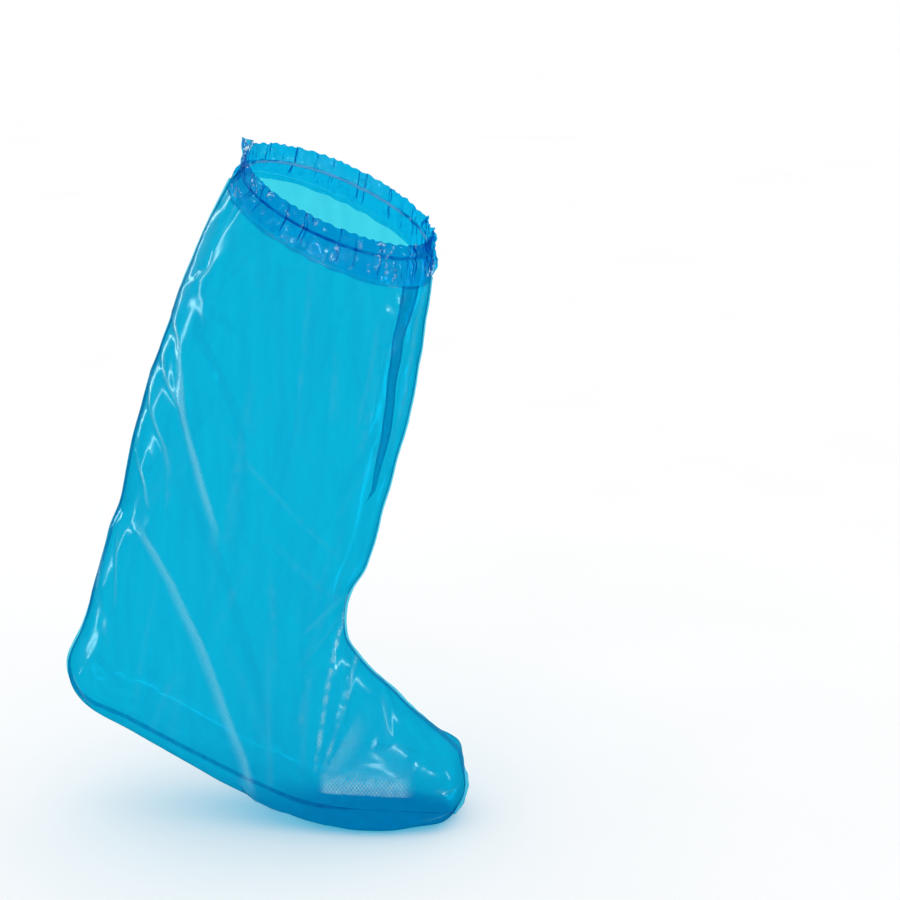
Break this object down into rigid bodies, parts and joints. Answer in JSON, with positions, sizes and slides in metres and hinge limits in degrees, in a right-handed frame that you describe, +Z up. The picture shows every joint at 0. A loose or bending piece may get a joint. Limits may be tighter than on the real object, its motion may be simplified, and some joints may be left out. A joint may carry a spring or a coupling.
{
  "type": "disposable boot cover",
  "caption": "Worn-form disposable boot cover of thin blue polyethylene film: leaning open shaft, lifted heel, flat forefoot, fused edge seam and elastic-gathered cuff.",
  "frame": {"origin": "centre of the elasticated leg opening, in the elastic's plane", "axes": "+X forward, towards the toe; +Y to the wearer's left; +Z up from the floor under the forefoot"},
  "size_m": [0.3476, 0.1794, 0.5763],
  "materials": {
    "film": "thin, glossy, see-through blue polyethylene film with a fine embossing",
    "fused_film": "fused double film, a little deeper blue, crinkled",
    "gathered_film": "the same film in many gathered layers, deep blue with small glints",
    "elastic": "matt blue knitted elastic"
  },
  "bodies": {
    "root": {"right_panel": "film", "left_panel": "film", "heat_seal": "fused_film", "gathered_cuff": "gathered_film", "elastic_band": "elastic"}
  },
  "joints": []
}
